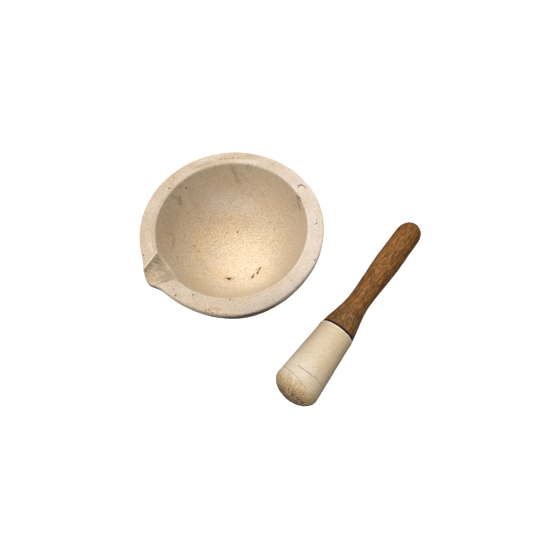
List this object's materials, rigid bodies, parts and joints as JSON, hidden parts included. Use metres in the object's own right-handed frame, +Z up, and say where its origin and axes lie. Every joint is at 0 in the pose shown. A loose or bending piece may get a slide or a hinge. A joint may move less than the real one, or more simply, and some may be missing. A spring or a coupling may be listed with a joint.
{
  "type": "mortar and pestle",
  "caption": "Unglazed stoneware mortar with a flat rim, collar and pouring spout, and a pestle with a stoneware head cemented to a turned wooden handle.",
  "frame": {"origin": "centre of the mortar's flat foot, on the surface it stands on", "axes": "+Z up along the mortar's axis, the spout points along -X, the pestle lies beside the mortar on the -Y side"},
  "size_m": [0.2491, 0.2253, 0.086],
  "materials": {
    "stoneware": "unglazed, stained cream",
    "head_stoneware": "unglazed, worn smooth, brown at the grinding end",
    "cement": "dark resin cement",
    "hardwood": "oiled, worn, mid-brown"
  },
  "bodies": {
    "mortar": {"mortar": "stoneware"},
    "pestle": {"pestle_head": "head_stoneware", "joint_cement": "cement", "pestle_handle": "hardwood"}
  },
  "joints": [
    {"name": "pestle_lift", "type": "slide", "parent": "mortar", "child": "pestle", "axis": [0, 0, 1], "range_m": [0, 0.25]}
  ]
}
